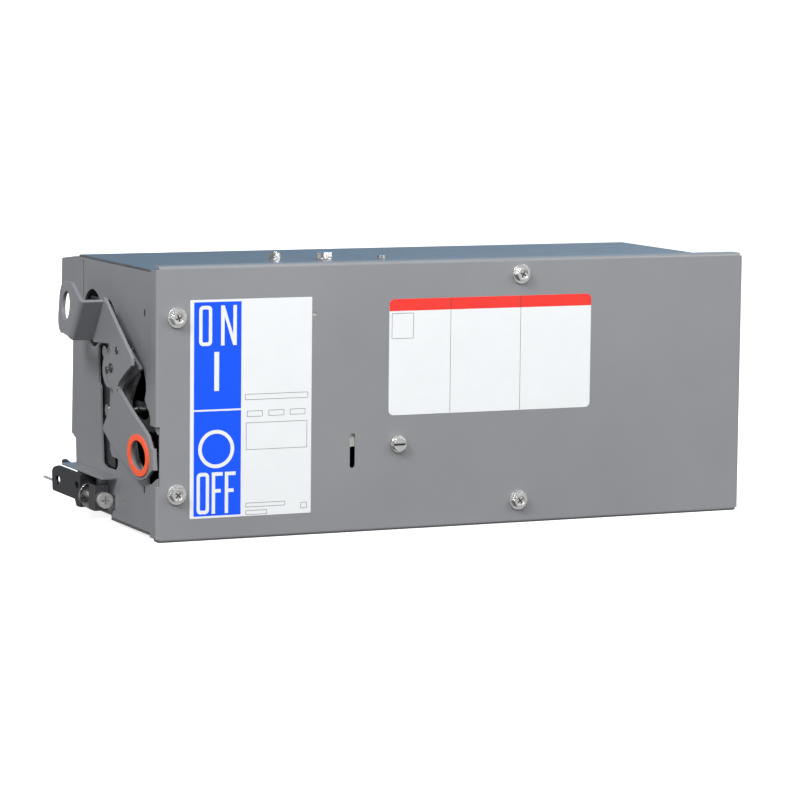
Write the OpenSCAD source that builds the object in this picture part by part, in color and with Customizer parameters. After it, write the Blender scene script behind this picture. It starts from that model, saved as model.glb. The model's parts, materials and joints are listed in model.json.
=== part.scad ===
// Plug-on tap-off box for busway: sheet steel box, three-pole breaker inside,
// rocker handle for a hookstick on the left end, bus jaws at the back.
// Millimetres. X runs along the box, Y goes back to the busway, Z is up.
// The origin is the middle of the back panel's outer face.

/* [Enclosure] */
// Width of the front cover
cover_w = 488; // [460:1:590]
// Height of the front cover
cover_h = 203; // [169:1:244]
// Depth from the cover's face to the back of the box
box_d = 175; // [172:1:212]
// Thickness of the box and cover sheet
sheet = 1.6; // [1.2:0.1:1.9]
// Thickness of the mechanism wall
wall_t = 2; // [1.6:0.1:2.4]
// Depth of the flange round the cover
flange_d = 12.3; // [8:0.1:16]
// Length of cover past the right end of the box
overhang = 15.5; // [12:0.5:24]
// Step from the cover's edge in to the box
cover_step = 3.4; // [2.8:0.1:6]
// Bend radius of the sheet, outside
bend_r = 2.4; // [2:0.1:4]

/* [Handle] */
// Distance of the handle's pivot from the cover's face
pivot_y = 62; // [56:0.5:70]
// Height of the handle's pivot above mid-height
pivot_z = 22; // [16:0.5:26]
// Thickness of the handle plates
handle_t = 2.6; // [2:0.1:3]
// Distance from the wall to the blade's outer face
blade_out = 14.5; // [13:0.1:16]
// Outboard step between the blade and the upper ear
joggle = 18; // [14:0.1:22]
// Radius of the hookstick eyes
eye_r = 11.1; // [9:0.1:12.5]
// Outer radius of the orange ring
ring_r = 15.6; // [14:0.1:17]
// Turn of the handle from off to on, in degrees
handle_turn = 56; // [40:1:60]
// Radius of the pivot and drive pins
pin_r = 3; // [2.5:0.1:3.5]

/* [Drive] */
// Distance of the drive pin from the pivot
crank_r = 32; // [28:0.5:34]
// Angle of the drive pin below level when off, in degrees
crank_a = 76; // [70:1:80]
// Thickness of the sliding plates
slide_t = 2; // [1.5:0.1:2.5]
// Running clearance of pins in bores
run_gap = 0.06; // [0.03:0.01:0.1]
// Clearance of pins in slots
slot_gap = 0.3; // [0.2:0.05:0.5]

/* [Breaker] */
// Distance of the breaker's middle from the cover's left edge
breaker_x = 101; // [95:1:110]
// Width of the breaker
breaker_w = 78; // [70:1:90]
// Height of the breaker
breaker_h = 132; // [112:1:136]
// Depth of the breaker's case
breaker_d = 68; // [60:1:70]
// Distance between poles
pole_pitch = 25; // [22:0.5:28]

/* [Bus jaws] */
// Distance between phase jaws
jaw_pitch = 36; // [32:1:40]
// Gap in a jaw for the bus stab
stab_t = 6.4; // [5:0.1:8]
// Height of a jaw
jaw_h = 24; // [18:1:30]
// Reach of the jaws behind the box
jaw_reach = 40; // [30:1:50]
// Reach of the ground jaw behind the box
ground_reach = 48; // [40:1:60]

/* [Clamp] */
// Radius of the clamp screw
clamp_r = 2.5; // [2:0.1:3]
// Travel of the clamp jaw
clamp_travel = 6; // [3:0.5:8]
// Distance of the clamp's front from the back of the box
clamp_front = 75; // [70:1:80]

/* [Hidden] */
$fn = 48;

half_h = cover_h / 2;
box_w = cover_w - overhang;
box_top = half_h - cover_step;
lip_y = sheet + 0.4;
wall_x = sheet + 0.4;
wall_in = wall_x + wall_t;
back_in = box_d - sheet;
fit_gap = 0.3;
screw_r = 2.4;
screw_hole_r = screw_r + fit_gap;

grey = [0.46, 0.47, 0.485];
dark = [0.16, 0.16, 0.17];
zinc = [0.72, 0.72, 0.7];
black = [0.05, 0.05, 0.055];
copper = [0.72, 0.42, 0.28];
orange = [0.95, 0.3, 0.16];

// Cover fixings as [x from the left edge, z from mid-height]
left_screws = [[16, half_h - 37.7], [16, 35.3 - half_h]];
lip_screws = [[295, half_h - 12.2], [295, 17.6 - half_h]];
all_screws = concat(left_screws, lip_screws);
top_lip = 19;
bottom_lip = 24;
tab_w = 24;

// Handle planes, outer faces
blade_x = wall_x - blade_out;
ear_x = blade_x - joggle;
drive_x = wall_x - 6;
slide_x = wall_in + 1.2;
bracket_x = slide_x + slide_t + 2;
pivot = [pivot_y, pivot_z];
ring_at = [wall_x - 6.8, pivot_y - 38.8, pivot_z - 61];
arm_turn = 9.1;
arm_tilt = -4;

// Drive pin, off and on, and the travel of the slide
function crank_at(turn) = [pivot[0] - crank_r * cos(crank_a - turn), pivot[1] - crank_r * sin(crank_a - turn)];
slide_travel = crank_at(handle_turn)[1] - crank_at(0)[1];
pin_off = crank_at(0);

// Breaker and toggle
breaker_y = pivot_y;
breaker_back = breaker_y + breaker_d;
split_y = breaker_y + 30;
toggle_y = breaker_y + 14;
hub_r = 13;
toggle_len = 34;
toggle_half = asin(slide_travel / 2 / toggle_len);
toggle_off = -toggle_len * sin(toggle_half);
yoke_y = 18;
yoke_end = 162;
flag_x = 156.4;
stud_at = [193.7, -36.3];
slot_h = 26;
slot_w = 4.4;
slot_mid = -40;

jaw_root = box_d - 26;
jaw_x = [for (i = [-1:1]) breaker_x + i * jaw_pitch];
ground_x = breaker_x + 2.2 * jaw_pitch;
finger_t = 2;

clamp_y = box_d - clamp_front;
room_x = wall_in + 6;
clamp_x = -4.5;
clamp_z = 19 - half_h;
shelf_z = 37.5 - half_h;

// Puts a shape from cover corner coordinates into the box's own frame
module place() translate([-box_w / 2, -box_d, 0]) children();

// Plate parallel to the end walls, from x, drawn in Y and Z
module side_plate(x, t) translate([x, 0, 0]) rotate([90, 0, 90]) linear_extrude(t) children();

// Plate parallel to the cover, from y, drawn in X and Z
module front_plate(y, t) translate([0, y + t, 0]) rotate([90, 0, 0]) linear_extrude(t) children();

// Plate parallel to the top, from z, drawn in X and Y
module flat_plate(z, t) translate([0, 0, z]) linear_extrude(t) children();

module rod_x(x, y, z, r, len) translate([x, y, z]) rotate([0, 90, 0]) cylinder(r = r, h = len);
module rod_y(x, y, z, r, len) translate([x, y, z]) rotate([-90, 0, 0]) cylinder(r = r, h = len);
module rod_z(x, y, z, r, len) translate([x, y, z]) cylinder(r = r, h = len);

// Hexagon bar along Y or Z, by its width across flats
module hex_y(x, y, z, af, len) translate([x, y, z]) rotate([-90, 0, 0]) cylinder(d = af / cos(30), h = len, $fn = 6);
module hex_z(x, y, z, af, len) translate([x, y, z]) cylinder(d = af / cos(30), h = len, $fn = 6);

module round_rect(w, h, r) {
  translate([r, 0]) square([w - 2 * r, h]);
  translate([0, r]) square([w, h - 2 * r]);
  for (a = [r, w - r], b = [r, h - r]) translate([a, b]) circle(r);
}

// Straight slot with round ends, from a to b
module obround(a, b, r) hull() {
  translate(a) circle(r);
  translate(b) circle(r);
}

// Channel of the pan: web along a at b = 0, legs to b = depth
module pan_profile(len, depth, t, r) difference() {
  union() {
    translate([0, r]) square([len, depth - r]);
    translate([r, 0]) square([len - 2 * r, depth]);
    for (a = [r, len - r]) translate([a, r]) circle(r);
  }
  translate([t, t]) union() {
    translate([0, r - t]) square([len - 2 * t, depth]);
    translate([r - t, 0]) square([len - 2 * r, depth]);
    for (a = [r - t, len - t - r]) translate([a, r - t]) circle(r - t);
  }
}

// ---------- enclosure ----------

// Round knock-out: a ring groove left open at two webs
module knockout_ring(r) difference() {
  circle(r);
  circle(r - 0.7);
  square([2 * r + 2, 3], center = true);
}

module housing_shell() color(grey) place() difference() {
  side_plate(wall_x, box_w - wall_x) difference() {
    translate([lip_y, -box_top]) round_rect(box_d - lip_y, 2 * box_top, bend_r);
    translate([lip_y + sheet, sheet - box_top])
      round_rect(box_d - lip_y - 2 * sheet, 2 * (box_top - sheet), bend_r - sheet);
    translate([lip_y - 1, bottom_lip - half_h])
      square([sheet + 2, cover_h - top_lip - bottom_lip]);
  }
  // room for the mechanism wall, between the top and bottom panels
  translate([-1, -1, sheet + fit_gap - box_top]) cube([wall_in + 1 + fit_gap, box_d + 2, 2 * (box_top - sheet - fit_gap)]);
  // corner left out for the clamp at the lower left
  translate([-1, clamp_y + 1, -box_top - 1]) cube([room_x + 1, box_d, shelf_z + box_top + 1 + fit_gap]);
  // room for the end wall
  translate([box_w - sheet - fit_gap, -1, sheet + fit_gap - box_top])
    cube([sheet + fit_gap + 1, box_d + 2, 2 * (box_top - sheet - fit_gap)]);
  for (p = lip_screws) rod_y(p[0], 0, p[1], screw_hole_r, 8);
  // window for the bus jaws and slot for the ground jaw
  translate([jaw_x[0] - 16.5, back_in - 1, -jaw_h / 2 - 7.5])
    cube([2 * jaw_pitch + 33, sheet + 2, jaw_h + 15]);
  translate([ground_x - stab_t / 2 - finger_t - fit_gap, back_in - 1, -jaw_h / 2 - fit_gap])
    cube([stab_t + 2 * (finger_t + fit_gap), sheet + 2, jaw_h + 2 * fit_gap]);
  // mounting plate studs, ground bar screws
  for (p = spacer_at) rod_y(p[0], back_in - 1, p[1], 2.2 + fit_gap, sheet + 2);
  for (z = ground_screw_z) rod_y(ground_bar_x, back_in - 1, z, 2.2 + fit_gap, sheet + 2);
  // top fasteners
  for (p = top_at) rod_z(p[0], p[1], box_top - sheet - 1, p[2] + fit_gap, sheet + 2);
  // knock-outs in the bottom panel
  for (x = [box_w - 150, box_w - 80], r = [14.3, 11.1])
    translate([x, box_d / 2, -box_top - 0.1]) linear_extrude(0.9) knockout_ring(r);
}

top_at = [[125.5, 79, 2], [164, 73, 3.2], [210, 69.6, 1.9]];

hanger_slit = 2.8;

// Outline of the mechanism wall in Y and Z, with its hanger tab
module wall_outline() {
  wall_top = box_top - sheet - fit_gap;
  wall_low = sheet + fit_gap - box_top;
  rear = box_d + 14;
  polygon([[lip_y, wall_low], [lip_y, wall_top], [box_d + 5, wall_top], [box_d + 8, half_h - 5.4],
    [box_d + 40, half_h - 9], [box_d + 41, half_h - 30], [box_d + 36, half_h - 33],
    [box_d + 32, half_h - 29], [box_d + 24, half_h - 29], [box_d + 16, half_h - 36],
    [rear, half_h - 70], [rear + 3, pivot_z - 64], [box_d + 7.5, pivot_z - 67.5],
    [box_d + 6.5, shelf_z], [clamp_y + 1, shelf_z], [clamp_y + 1, wall_low]]);
}

// Front opening, where the crank passes in and the ring end dips behind the cover's edge,
// with a narrow tail that runs up behind the blade
module crank_opening() translate(pivot) polygon([[-29.4, 1.9], [-33.9, -5.3], [-35.4, -9.5],
  [-35.4, -14], [-32.5, -20.9], [-41.8, -29.5], [-45, -34.3], [-56.5, -41.7], [-pivot_y, -45],
  [-pivot_y, -77], [-58.8, -76.2], [-47.4, -81.7], [-40, -82.7], [-37.9, -77.4],
  [-18, -68], [-10, -52], [-2, -40], [-2, -24], [-10, -14], [-20, -4], [-12.6, 0.9],
  [10, 15.8], [44, 38.6], [50.5, 41.5], [48, 46.4], [43.8, 46.6], [39.4, 45.3], [34.9, 41.9],
  [7.5, 19.6], [-15.1, 5.7]]);

// Upright slot at the rear, where the slide and its guide screws show
module guide_slot() translate(pivot) offset(r = 1.5) offset(delta = -1.5) polygon([[68.3, 9.3],
  [69.4, 0], [67.6, -18.9], [64.4, -22.4], [63.2, -46.8], [59.5, -79.3], [51, -81.3],
  [38, -81.4], [29, -81], [24.6, -77], [24.6, -71.9], [38, -71.5], [42.5, -66],
  [42.5, 11.8], [49, 13.6], [62.7, 12.1]]);

module mechanism_wall() color(grey) place() {
  difference() {
    side_plate(wall_x, wall_t) difference() {
      wall_outline();
      crank_opening();
      guide_slot();
      translate([pivot_y + 81.3, pivot_z + 29.6]) circle(22);
      translate([box_d - 11.7, half_h - 36.5]) square([hanger_slit, 29]);
      for (z = [half_h - 36, 36 - half_h]) translate([29, z - 2.4]) square([1.2, 4.8]);
      translate([clamp_y - 7, 11 - half_h]) square([9, 12]);
    }
    rod_x(wall_x - 1, pivot_y, pivot_z, pin_r + run_gap, wall_t + 2);
    // pressed dimples over the weld spots
    for (p = [[73, 20.8 - half_h], [86.5, 25 - half_h]])
      translate([wall_x - 3.2, p[0], p[1]]) sphere(3.6);
  }
  // in-turned tabs for the cover screws
  for (p = left_screws) difference() {
    front_plate(lip_y, wall_t) translate([wall_x + 0.1, p[1] - 11]) square([tab_w, 22]);
    rod_y(p[0], 0, p[1], screw_hole_r, 8);
  }
}

module end_wall() color(grey) place() {
  edge = box_top - sheet - fit_gap;
  difference() {
    side_plate(box_w - sheet, sheet) difference() {
      translate([lip_y, -edge]) square([back_in - lip_y - fit_gap, 2 * edge]);
      translate([box_d / 2, 0]) knockout_ring(31);
    }
    // smaller rings pressed part way through
    for (r = [25.2, 21.7, 17.3]) translate([box_w - 0.8, box_d / 2, 0])
      rotate([90, 0, 90]) linear_extrude(1) knockout_ring(r);
  }
  // out-turned flange under the cover's overhang
  front_plate(lip_y, sheet) translate([box_w - 1, -edge]) square([overhang - sheet - 0.4, 2 * edge]);
  // in-turned foot against the back panel
  front_plate(back_in - fit_gap - sheet, sheet) translate([box_w - 16, -edge + 12]) square([15, 2 * edge - 24]);
}

module cover() color(grey) place() {
  notch_low = pivot_z - 82;
  notch_high = pivot_z - 38;
  difference() {
    union() {
      translate([bend_r, 0, 0]) rotate([90, 0, 90]) linear_extrude(cover_w - 2 * bend_r)
        translate([0, half_h]) rotate(-90) pan_profile(cover_h, flange_d, sheet, bend_r);
      translate([0, 0, bend_r - half_h]) linear_extrude(cover_h - 2 * bend_r)
        pan_profile(cover_w, flange_d, sheet, bend_r);
    }
    translate([-1, -1, notch_low]) cube([wall_x + 1.8, flange_d + 2, notch_high - notch_low]);
    for (p = all_screws) rod_y(p[0], -1, p[1], screw_hole_r, sheet + 2);
    front_plate(-1, sheet + 2) obround([flag_x, slot_mid - slot_h / 2 + slot_w / 2],
      [flag_x, slot_mid + slot_h / 2 - slot_w / 2], slot_w / 2);
    rod_y(stud_at[0], -1, stud_at[1], stud_r + run_gap, sheet + 2);
    rod_y(125, -1, half_h - 37.8, 1.6, sheet + 2);
    // reliefs where the flanges meet at three corners
    for (c = [[0, half_h], [cover_w, half_h], [0, -half_h]]) translate([c[0] - relief, bend_r, c[1] - relief])
      cube([2 * relief, flange_d, 2 * relief]);
  }
}

stud_r = 3;
relief = bend_r + 0.6;
screw_af = 9.5;
screw_flange = 7.4;

// Hex washer head screw through the cover
module cover_screws() color(zinc) place() for (p = all_screws) {
  difference() {
    hex_y(p[0], -4.8, p[1], screw_af, 3.8);
    rod_y(p[0], -5.8, p[1], screw_af / 2 - 1.4, 1.9);
  }
  rod_y(p[0], -1, p[1], screw_flange, 1);
  rod_y(p[0], 0, p[1], screw_r, 13);
}

// Square nuts clipped behind the lips
module clip_nuts() color(zinc) place() for (i = [0:3]) {
  p = all_screws[i];
  y = lip_y + (i < 2 ? wall_t : sheet);
  difference() {
    translate([p[0] - 6.5, y, p[1] - 6.5]) cube([13, 4, 13]);
    rod_y(p[0], y - 1, p[1], screw_r + run_gap, 6);
  }
}

// ---------- handle ----------

// Bend line of the joggle, top and bottom, from the pivot
bend_top = [15.5, 49.5];
bend_low = [41.5, 15.5];
bend_len = norm(bend_low - bend_top);
bend_u = (bend_low - bend_top) / bend_len;
bend_w = [-bend_u[1], bend_u[0]];
bend_over = (handle_t + 0.4) * bend_w;
joggle_r = 3.4;

// Outline of the blade about the pivot, with a bite at the rear that clears the guide slot
module blade_2d() difference() {
  offset(r = 1.2, $fn = 24) offset(delta = -1.2) polygon([bend_top + bend_over, [14.4, 49.8],
    [-43.2, 12], [-43.2, 5.8], [-28.1, -2], [-16.3, -9.5], [-14, -12.7], [-15.5, -14],
    [-6.1, -18], [1.1, -12.9], [11, -6.8], [13.8, -2.4], [12.2, 3], [7.1, 6.3],
    [4, 9.2], [2.7, 13.1], [4.4, 17.6], bend_low, bend_low + bend_over]);
  translate(bend_low + 0.3 * bend_u) circle(2.2);
}

module handle() color(grey) place() difference() {
  union() {
    translate([0, pivot_y, pivot_z]) {
      side_plate(blade_x, handle_t) blade_2d();
      joggle_panel();
      ear();
    }
    arm();
    neck();
  }
  rod_x(blade_x - 1, pivot_y, pivot_z, pin_r + run_gap, handle_t + 2);
  for (p = rivet_at) rod_x(blade_x - 1, p[0], p[1], rivet_r + run_gap, handle_t + 2);
}

// Panel square to the wall, and the bend that leads into the ear
module joggle_panel() multmatrix([[-1, 0, 0, ear_x + joggle_r], [0, bend_w[0], bend_u[0], bend_top[0]],
    [0, bend_w[1], bend_u[1], bend_top[1]]]) translate([0, 0, panel_end]) linear_extrude(bend_len - 2 * panel_end) {
  translate([joggle_r - joggle - 1.2, 0]) square([joggle + 1.2 - joggle_r, handle_t]);
  translate([0, joggle_r]) intersection() {
    difference() {
      circle(joggle_r);
      circle(joggle_r - handle_t);
    }
    polygon([[0, 0], [0, -2 * joggle_r], [2 * joggle_r, -2 * joggle_r],
      2 * joggle_r * [cos(ear_turn), sin(ear_turn)]]);
  }
}

panel_end = 2.2;

// Points of an arc about c, from one angle to another
function arc_points(c, r, from, to) = [for (i = [0:arc_steps]) let (a = from + (to - from) * i / arc_steps)
  c + r * [cos(a), sin(a)]];
arc_steps = 7;

// Upper ear with its eye, turned a little towards the wall from the end of the bend
module ear() {
  bend_at = concat([ear_x + joggle_r], bend_top + joggle_r * bend_w);
  start_top = bend_top + (joggle_r - 0.15) * bend_w + (panel_end - 0.1) * bend_u;
  start_low = bend_low + (joggle_r - 0.15) * bend_w - (panel_end - 0.1) * bend_u;
  translate(bend_at) rotate(a = ear_turn, v = [0, bend_u[0], bend_u[1]]) translate(-bend_at) difference() {
    side_plate(ear_x - 0.05, handle_t + 0.1) polygon(concat([start_top, start_low, start_low + [8, 1]],
      arc_points(ear_eye + [8, -8.2], 13.2, -105, 0), arc_points(ear_eye + [7.5, 4.9], 13.6, 0, 95),
      [ear_eye + [-11.5, 18.3]]));
    rod_x(ear_x - 1, ear_eye[0], ear_eye[1], eye_r, handle_t + 2);
  }
}

ear_eye = [57.5, 41.6];
ear_turn = 6;
nose_r = 3.5;
nose_len = 19;
nose_h = 16;
nose_low = -9;

// Lower arm with the ring eye, turned to the front, and its curled nose
module arm() arm_frame() difference() {
  union() {
    side_plate(0, handle_t) polygon([[33.4, 44], [24.5, 46.3], [18, 40.9], [5.7, 31], [-10.8, 19.4],
      [-14.9, 16.1], [-17.2, 11.5], [-nose_len, nose_low + nose_h], [-nose_len, nose_low],
      [-14.5, -11.6], [-8.5, -16.4], [0, -18.6], [7.2, -18.8], [35.3, -0.8], [43.1, 4.4],
      [52.3, 12.8], [53, 15.4], [44.6, 25.4], [38.8, 35]]);
    translate([nose_r, -nose_len, nose_low]) rotate([0, 0, 180]) rotate_extrude(angle = 75)
      translate([nose_r - handle_t, 0]) square([handle_t, nose_h]);
  }
  rod_x(-1, 0, 0, eye_r, handle_t + 2);
}

module arm_frame() translate(ring_at) rotate([0, arm_tilt, arm_turn]) children();

// Twisted neck between the blade's plane and the arm's
module neck() hull() {
  translate([0, pivot_y, pivot_z]) side_plate(blade_x + neck_in, handle_t - 2 * neck_in)
    polygon([[-13.6, -12], [-3.8, -14.2], [-4.4, -14.8], [-13.8, -12.6]]);
  arm_frame() side_plate(neck_in, handle_t - 2 * neck_in)
    polygon([[24, 43.6], [32.4, 41.8], [32.6, 41.2], [23.6, 43]]);
}

neck_in = 0.2;

module ring_bush() color(orange) place() arm_frame()
  translate([-1.1, 0, 0]) rotate([0, 90, 0]) difference() {
    cylinder(r = ring_r, h = 1.1);
    translate([0, 0, -1]) cylinder(r = eye_r + 0.2, h = 4);
  }

rivet_at = [[pivot_y - 12.5, pivot_z + 14.2], [pivot_y + 9, pivot_z - 2.6]];
rivet_r = 1.9;
rivet_head = 2.8;

// Crank plate behind the blade, with a round lobe at the rear
module drive_plate() color(dark) place() difference() {
  side_plate(drive_x, handle_t) translate(pivot) polygon(concat([[6, 24.6], [-35, 4.4], [-37.2, 2.6],
    [-35.5, 1.2], [-12.7, -8.5], [-5.2, -12.6], [-0.9, -17.5], [-3.5, -22], [-11, -27.5]],
    arc_points(pin_off - pivot, pin_r + 2.6, 170, 350), [[4, -21], [16, -17.5]],
    arc_points([29.5, -5], 13.3, -90, 42), [[28.1, 15.2]]));
  rod_x(drive_x - 1, pivot_y, pivot_z, pin_r + run_gap, handle_t + 2);
  rod_x(drive_x - 1, pin_off[0], pin_off[1], pin_r + run_gap, handle_t + 2);
  for (p = rivet_at) rod_x(drive_x - 1, p[0], p[1], rivet_r + run_gap, handle_t + 2);
}

hub_out = 6;

// Spacer on the pivot between the blade and the crank plate
module hub_sleeve() color(zinc) place() difference() {
  rod_x(blade_x + handle_t, pivot_y, pivot_z, hub_out, drive_x - blade_x - handle_t);
  rod_x(blade_x, pivot_y, pivot_z, pin_r + run_gap, blade_out);
}

// Shouldered rivets that tie the blade to the crank plate
module handle_rivets() color(zinc) place() for (p = rivet_at) {
  rod_x(blade_x - 0.5, p[0], p[1], rivet_head, 0.5);
  rod_x(blade_x, p[0], p[1], rivet_r, drive_x + handle_t - blade_x);
  rod_x(blade_x + handle_t, p[0], p[1], rivet_head, drive_x - blade_x - handle_t);
  rod_x(drive_x + handle_t, p[0], p[1], rivet_head, 1);
}

module drive_pin() color(zinc) place() {
  rod_x(drive_x - 1.5, pin_off[0], pin_off[1], pin_r + 1.6, 1.5);
  rod_x(drive_x, pin_off[0], pin_off[1], pin_r, slide_x + slide_t + 0.8 - drive_x);
}

module pivot_bolt() color(zinc) place() {
  rod_x(blade_x - 0.9, pivot_y, pivot_z, pin_r + 0.5, 0.8);
  rod_x(blade_x - 0.1, pivot_y, pivot_z, pin_r, wall_in + 4.4 - blade_x);
}

module pivot_nut() color(zinc) place() difference() {
  translate([wall_in, pivot_y, pivot_z]) rotate([0, 90, 0]) cylinder(d = 11 / cos(30), h = 0.9, $fn = 6);
  rod_x(wall_in - 1, pivot_y, pivot_z, pin_r + run_gap, 4);
}

// Bush on the wall that the crank plate turns against
module pivot_bush() color(zinc) place() difference() {
  rod_x(drive_x + handle_t + 0.1, pivot_y, pivot_z, hub_out, wall_x - drive_x - handle_t - 0.1);
  rod_x(drive_x, pivot_y, pivot_z, pin_r + run_gap, 8);
}

// ---------- drive inside the wall ----------

guide_at = [[pivot_y + 57, pivot_z + 6], [pivot_y + 51, pivot_z - 38]];
slide_low = max(pivot_z - 81, shelf_z + 5);
cam_steps = 12;

// Middle line of the cam slot: where the pin lies on the slide as the handle turns
function cam_point(s) = crank_at(s * handle_turn) - [0, s * slide_travel];

module cam_slot() offset(r = pin_r + slot_gap) polygon(concat(
  [for (i = [0:cam_steps]) cam_point(i / cam_steps)],
  [for (i = [cam_steps:-1:0]) cam_point(i / cam_steps) - [0, 0.02]]));

module drive_slide() color(dark) place() side_plate(slide_x, slide_t) difference() {
  union() {
    translate([pivot_y + 40, slide_low]) square([38, pivot_z + 22 - slide_low]);
    translate([yoke_y, pin_off[1] - 13]) square([pivot_y + 60 - yoke_y, 20]);
  }
  cam_slot();
  for (p = guide_at) obround(p, p - [0, slide_travel], pin_r + slot_gap);
}

// Fixed screws that the slide runs on
module guide_screws() color(zinc) place() for (p = guide_at) {
  rod_x(slide_x - 0.2 - 2.4, p[0], p[1], pin_r + 1.6, 2.4);
  rod_x(slide_x - 0.2, p[0], p[1], pin_r, bracket_x + slide_t + 0.2 - slide_x + 1.5);
}

// Sheet bracket behind the slide, with feet on the wall
module guide_bracket() color(dark) place() {
  high = pivot_z + 46;
  low = slide_low - 3;
  deep = bracket_x - wall_in;
  difference() {
    side_plate(bracket_x, slide_t) translate([pivot_y + 38, low]) square([44, high - low]);
    for (p = guide_at) rod_x(bracket_x - 1, p[0], p[1], pin_r + run_gap, slide_t + 2);
  }
  for (z = [low, high - slide_t]) translate([wall_in, pivot_y + 38, z]) cube([deep + 0.1, 44, slide_t]);
  for (z = [low, high - slide_t]) translate([wall_in, pivot_y + 82 - 0.1, z])
    cube([slide_t, 10, slide_t]);
}

// Bar that carries the slide's motion across to the breaker
module yoke_bar() color(zinc) place() {
  z = pin_off[1] - 13;
  side_plate(slide_x + slide_t, slide_t) translate([yoke_y, z]) square([9, 20]);
  front_plate(yoke_y, slide_t) translate([slide_x + slide_t, z]) square([yoke_end - slide_x - slide_t, 14]);
}

// Fork that takes the breaker's toggle between two fingers
module toggle_fork() color(zinc) place() {
  mid = toggle_off;
  grip = 4.6;
  reach = toggle_y - toggle_len + 3 - yoke_y - slide_t;
  front_plate(yoke_y + slide_t, slide_t) translate([breaker_x - 8, mid - grip - 4]) square([16, 2 * grip + 8]);
  for (z = [mid - grip - slide_t, mid + grip])
    translate([breaker_x - 8, yoke_y + slide_t, z]) cube([16, reach, slide_t]);
}

// Pale flag behind the cover's slot: in sight when off
module interlock_flag() color([0.85, 0.85, 0.82]) place() {
  low = slot_mid + slot_h / 2 - 10;
  high = pin_off[1] - 13 + 8;
  front_plate(sheet + 0.8, 1.5) translate([flag_x - 4, low]) square([8, high - low]);
  translate([flag_x - 4, sheet + 0.8, high - 1.5]) cube([8, yoke_y - sheet - 0.8, 1.5]);
  front_plate(yoke_y - 1.5, 1.5) translate([flag_x - 4, high - 8]) square([8, 8]);
}

// ---------- breaker ----------

pole_x = [for (i = [-1:1]) breaker_x + i * pole_pitch];

// Moulded base with its open terminal bays
module breaker_base() color(black) place() difference() {
  translate([breaker_x - breaker_w / 2, split_y, -breaker_h / 2])
    cube([breaker_w, breaker_back - split_y, breaker_h]);
  for (x = pole_x, s = [-1, 1]) translate([x - 9, split_y - 1, s * breaker_h / 2 - 20])
    cube([18, 22, 40]);
  for (s = [-1, 1], z = [-1, 1]) rod_y(breaker_x + s * pole_pitch / 2, split_y - 1, z * (breaker_h / 2 - 8), 2.1, 60);
}

module breaker_front() color(black) place() difference() {
  union() {
    translate([breaker_x - breaker_w / 2, breaker_y, -breaker_h / 2])
      cube([breaker_w, split_y - breaker_y, breaker_h]);
    // raised escutcheon round the toggle
    translate([breaker_x - 20, breaker_y - 5, -24]) cube([40, 6, 48]);
  }
  // slot and well for the toggle
  translate([breaker_x - 8.5, breaker_y - 6, -19]) cube([17, 12, 38]);
  translate([breaker_x, toggle_y, 0]) rotate([0, 90, 0]) cylinder(r = hub_r + 0.6, h = 17, center = true);
  for (x = pole_x, s = [-1, 1]) translate([x - 9, breaker_y - 1, s * breaker_h / 2 - 14])
    cube([18, split_y - breaker_y + 2, 28]);
  for (s = [-1, 1], z = [-1, 1]) rod_y(breaker_x + s * pole_pitch / 2, breaker_y - 1, z * (breaker_h / 2 - 8), 2.1, 60);
  rod_y(trip_at[0], breaker_y - 1, trip_at[1], trip_r + run_gap, 8);
}

trip_at = [breaker_x + 28, -14];
trip_r = 3;

module trip_button() color([0.75, 0.1, 0.08]) place() rod_y(trip_at[0], breaker_y - 2, trip_at[1], trip_r, 6);

// Toggle, drawn level and tilted to its off place
module breaker_toggle() color([0.1, 0.1, 0.1]) place() translate([breaker_x, toggle_y, 0])
  rotate([toggle_half, 0, 0]) {
    rotate([0, 90, 0]) cylinder(r = hub_r, h = 16, center = true);
    translate([-6.5, -toggle_len, -3.5]) cube([13, toggle_len - 12, 7]);
    translate([-6.5, -toggle_len, 0]) rotate([0, 90, 0]) cylinder(r = 3.5, h = 13);
  }

// Box lug with a wire hole and a set screw
module lug(x, z, s) {
  difference() {
    translate([x - 7, split_y + 2, z - 8]) cube([14, 16, 16]);
    rod_z(x, split_y + 12, z - 9, 4, 18);
    rod_y(x, split_y, z, 2.6, 8);
  }
  rod_y(x, split_y - 2, z, 2.5, 7);
}

module line_lugs() color([0.75, 0.75, 0.76]) place() for (x = pole_x) lug(x, breaker_h / 2 - 11, 1);
module load_lugs() color([0.75, 0.75, 0.76]) place() for (x = pole_x) lug(x, 11 - breaker_h / 2, -1);

plate_y = breaker_back;
spacer_at = [for (x = [breaker_x - 52, breaker_x + 58], z = [-48, 48]) [x, z]];

module mounting_plate() color(zinc) place() front_plate(plate_y, 2) difference() {
  translate([breaker_x - 58, -58]) square([122, 116]);
  for (p = spacer_at) translate(p) circle(2.2 + fit_gap);
  for (s = [-1, 1], z = [-1, 1]) translate([breaker_x + s * pole_pitch / 2, z * (breaker_h / 2 - 8)]) circle(2.05);
}

module mounting_screws() color(zinc) place() for (s = [-1, 1], z = [-1, 1]) {
  rod_y(breaker_x + s * pole_pitch / 2, breaker_y - 2.4, z * (breaker_h / 2 - 8), 3.6, 2.4);
  rod_y(breaker_x + s * pole_pitch / 2, breaker_y, z * (breaker_h / 2 - 8), 2, breaker_d + 4);
}

// Stand-offs between the back panel and the mounting plate
module plate_spacers() color(zinc) place() for (p = spacer_at) {
  rod_y(p[0], plate_y + 2, p[1], 5, back_in - plate_y - 2);
  rod_y(p[0], plate_y - 4, p[1], 2.2, back_in - plate_y + 4);
  hex_y(p[0], plate_y - 3.6, p[1], 8, 3.6);
  rod_y(p[0], back_in, p[1], 2.2, sheet);
}

// ---------- bus connection ----------

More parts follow.
